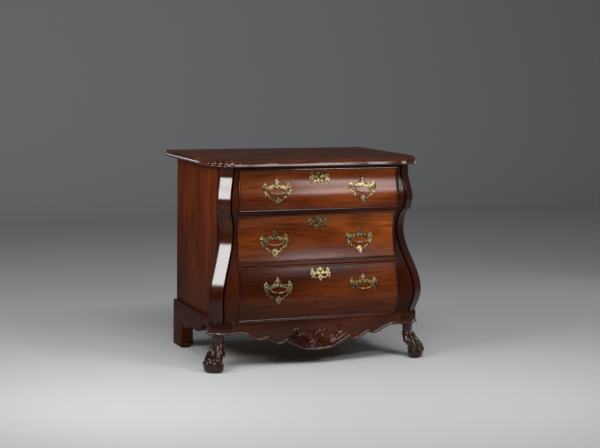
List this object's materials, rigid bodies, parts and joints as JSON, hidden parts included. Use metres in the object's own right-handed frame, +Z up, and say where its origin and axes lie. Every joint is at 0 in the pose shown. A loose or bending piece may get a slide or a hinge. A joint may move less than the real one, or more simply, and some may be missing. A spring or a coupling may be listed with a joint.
{
  "type": "bombe chest of drawers",
  "caption": "Bombe chest with serpentine top, swelled drawer fronts, canted corner posts, pierced brass bail handles, scalloped apron and claw-and-ball front feet.",
  "frame": {"origin": "on the floor under the middle of the chest's overall length and depth", "axes": "+X to the right along the length, +Y to the back, +Z up; the drawers face -Y"},
  "size_m": [0.9718, 0.653, 0.84],
  "materials": {
    "mahogany": "gloss",
    "dark_mahogany": "gloss",
    "oak": "matte",
    "brass": "satin",
    "lock_brass": "satin"
  },
  "bodies": {
    "carcass": {"top_board": "dark_mahogany", "side_panel_right": "mahogany", "corner_post_right": "mahogany", "plinth_corner_right": "dark_mahogany", "plinth_side_right": "dark_mahogany", "claw_foot_right": "dark_mahogany", "side_panel_left": "mahogany", "corner_post_left": "mahogany", "plinth_corner_left": "dark_mahogany", "plinth_side_left": "dark_mahogany", "claw_foot_left": "dark_mahogany", "back_panel": "oak", "top_rail": "dark_mahogany", "upper_rail": "dark_mahogany", "lower_rail": "dark_mahogany", "apron": "dark_mahogany", "bottom_board": "oak", "plinth_back": "oak", "runner_top_right": "oak", "runner_top_left": "oak", "runner_middle_right": "oak", "runner_middle_left": "oak", "runner_bottom_right": "oak", "runner_bottom_left": "oak"},
    "top_drawer": {"drawer_top_front": "mahogany", "drawer_top_side_right": "oak", "drawer_top_side_left": "oak", "drawer_top_back": "oak", "drawer_top_bottom": "oak", "lock_case_top": "lock_brass", "escutcheon_top": "brass", "handle_plate_top_left": "brass", "handle_plate_top_right": "brass"},
    "top_left_bail": {"bail_top_left": "brass"},
    "top_right_bail": {"bail_top_right": "brass"},
    "top_lock_bolt": {"lock_bolt_top": "lock_brass"},
    "middle_drawer": {"drawer_middle_front": "mahogany", "drawer_middle_side_right": "oak", "drawer_middle_side_left": "oak", "drawer_middle_back": "oak", "drawer_middle_bottom": "oak", "lock_case_middle": "lock_brass", "escutcheon_middle": "brass", "handle_plate_middle_left": "brass", "handle_plate_middle_right": "brass"},
    "middle_left_bail": {"bail_middle_left": "brass"},
    "middle_right_bail": {"bail_middle_right": "brass"},
    "middle_lock_bolt": {"lock_bolt_middle": "lock_brass"},
    "bottom_drawer": {"drawer_bottom_front": "mahogany", "drawer_bottom_side_right": "oak", "drawer_bottom_side_left": "oak", "drawer_bottom_back": "oak", "drawer_bottom_bottom": "oak", "lock_case_bottom": "lock_brass", "escutcheon_bottom": "brass", "handle_plate_bottom_left": "brass", "handle_plate_bottom_right": "brass"},
    "bottom_left_bail": {"bail_bottom_left": "brass"},
    "bottom_right_bail": {"bail_bottom_right": "brass"},
    "bottom_lock_bolt": {"lock_bolt_bottom": "lock_brass"}
  },
  "joints": [
    {"name": "top_drawer_slide", "type": "slide", "parent": "carcass", "child": "top_drawer", "axis": [0, -1, 0], "range_m": [0, 0.36]},
    {"name": "top_left_bail_swing", "type": "hinge", "parent": "top_drawer", "child": "top_left_bail", "pos_m": [-0.187, -0.29008, 0.7261], "axis": [-1, 0, 0], "range_deg": [0, 85]},
    {"name": "top_right_bail_swing", "type": "hinge", "parent": "top_drawer", "child": "top_right_bail", "pos_m": [0.187, -0.29008, 0.7261], "axis": [-1, 0, 0], "range_deg": [0, 85]},
    {"name": "top_lock_throw", "type": "slide", "parent": "top_drawer", "child": "top_lock_bolt", "axis": [0, 0, 1], "range_m": [0, 0.0075]},
    {"name": "middle_drawer_slide", "type": "slide", "parent": "carcass", "child": "middle_drawer", "axis": [0, -1, 0], "range_m": [0, 0.36]},
    {"name": "middle_left_bail_swing", "type": "hinge", "parent": "middle_drawer", "child": "middle_left_bail", "pos_m": [-0.187, -0.2668, 0.51783], "axis": [-1, 0, 0], "range_deg": [0, 85]},
    {"name": "middle_right_bail_swing", "type": "hinge", "parent": "middle_drawer", "child": "middle_right_bail", "pos_m": [0.187, -0.2668, 0.51783], "axis": [-1, 0, 0], "range_deg": [0, 85]},
    {"name": "middle_lock_throw", "type": "slide", "parent": "middle_drawer", "child": "middle_lock_bolt", "axis": [0, 0, 1], "range_m": [0, 0.0075]},
    {"name": "bottom_drawer_slide", "type": "slide", "parent": "carcass", "child": "bottom_drawer", "axis": [0, -1, 0], "range_m": [0, 0.36]},
    {"name": "bottom_left_bail_swing", "type": "hinge", "parent": "bottom_drawer", "child": "bottom_left_bail", "pos_m": [-0.187, -0.31653, 0.33305], "axis": [-1, 0, 0], "range_deg": [0, 85]},
    {"name": "bottom_right_bail_swing", "type": "hinge", "parent": "bottom_drawer", "child": "bottom_right_bail", "pos_m": [0.187, -0.31653, 0.33305], "axis": [-1, 0, 0], "range_deg": [0, 85]},
    {"name": "bottom_lock_throw", "type": "slide", "parent": "bottom_drawer", "child": "bottom_lock_bolt", "axis": [0, 0, 1], "range_m": [0, 0.0075]}
  ]
}
